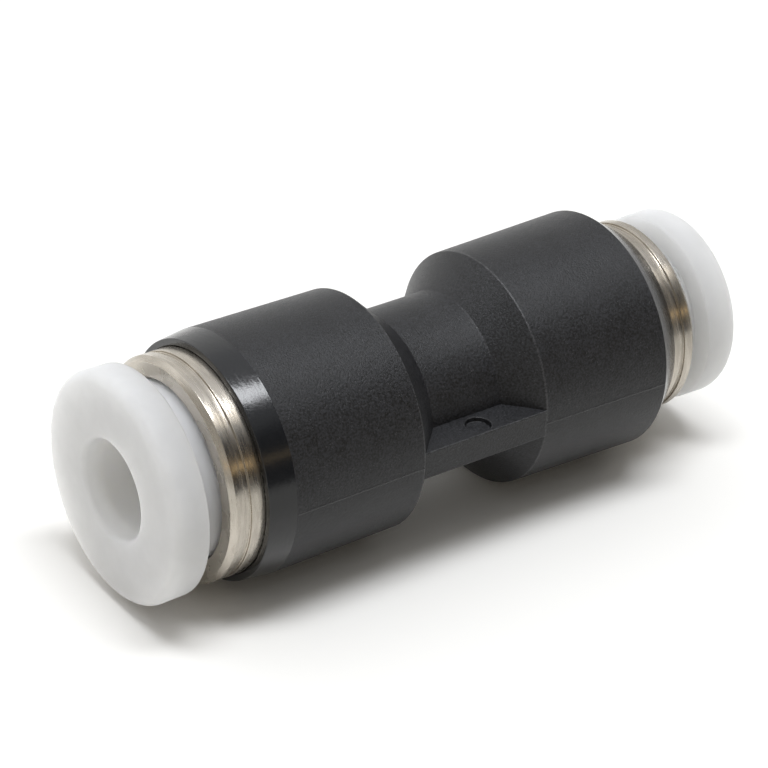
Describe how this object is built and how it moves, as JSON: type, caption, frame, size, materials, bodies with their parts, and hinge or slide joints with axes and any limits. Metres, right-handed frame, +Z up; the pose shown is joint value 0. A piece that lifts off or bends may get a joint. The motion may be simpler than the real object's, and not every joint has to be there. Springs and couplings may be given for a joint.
{
  "type": "push-in reducer fitting",
  "caption": "Straight push-in reducer that joins two plastic tubes of different diameter, with a release button, plated collar, claw ring and lip seal at each end.",
  "frame": {"origin": "centre of the face that stops the large tube, on the common axis of the two tubes", "axes": "+X along the common axis from the large end to the small end, +Z up as the fitting lies in the picture, the two webs of the neck in the XY plane"},
  "size_m": [0.0342, 0.0124, 0.0124],
  "materials": {
    "body_polymer": "black glass-filled polymer, finely spark-eroded, with polished tapered lips",
    "button_polymer": "light grey acetal with a soft sheen, slightly translucent",
    "nickel_plate": "turned brass with bright nickel plating",
    "spring_steel": "stamped stainless spring steel",
    "ring_polymer": "natural acetal",
    "seal_rubber": "black nitrile rubber"
  },
  "bodies": {
    "fitting": {"body": "body_polymer", "large_collar": "nickel_plate", "large_backup_ring": "ring_polymer", "large_seal": "seal_rubber", "small_collar": "nickel_plate", "small_backup_ring": "ring_polymer", "small_seal": "seal_rubber"},
    "large_grip": {"large_claw_ring": "spring_steel"},
    "large_release": {"large_button": "button_polymer"},
    "small_grip": {"small_claw_ring": "spring_steel"},
    "small_release": {"small_button": "button_polymer"}
  },
  "joints": [
    {"name": "large_swivel", "type": "hinge", "parent": "fitting", "child": "large_grip", "pos_m": [0, 0, 0], "axis": [1, 0, 0], "continuous": true},
    {"name": "large_press", "type": "slide", "parent": "large_grip", "child": "large_release", "axis": [1, 0, 0], "range_m": [0, 0.0012], "stiffness_N_per_m": 1500, "springref_m": -0.0003, "deforming": ["large_claw_ring"]},
    {"name": "small_swivel", "type": "hinge", "parent": "fitting", "child": "small_grip", "pos_m": [0.0062, 0, 0], "axis": [1, 0, 0], "continuous": true},
    {"name": "small_press", "type": "slide", "parent": "small_grip", "child": "small_release", "axis": [-1, 0, 0], "range_m": [0, 0.00088], "stiffness_N_per_m": 1500, "springref_m": -0.0003, "deforming": ["small_claw_ring"]}
  ]
}
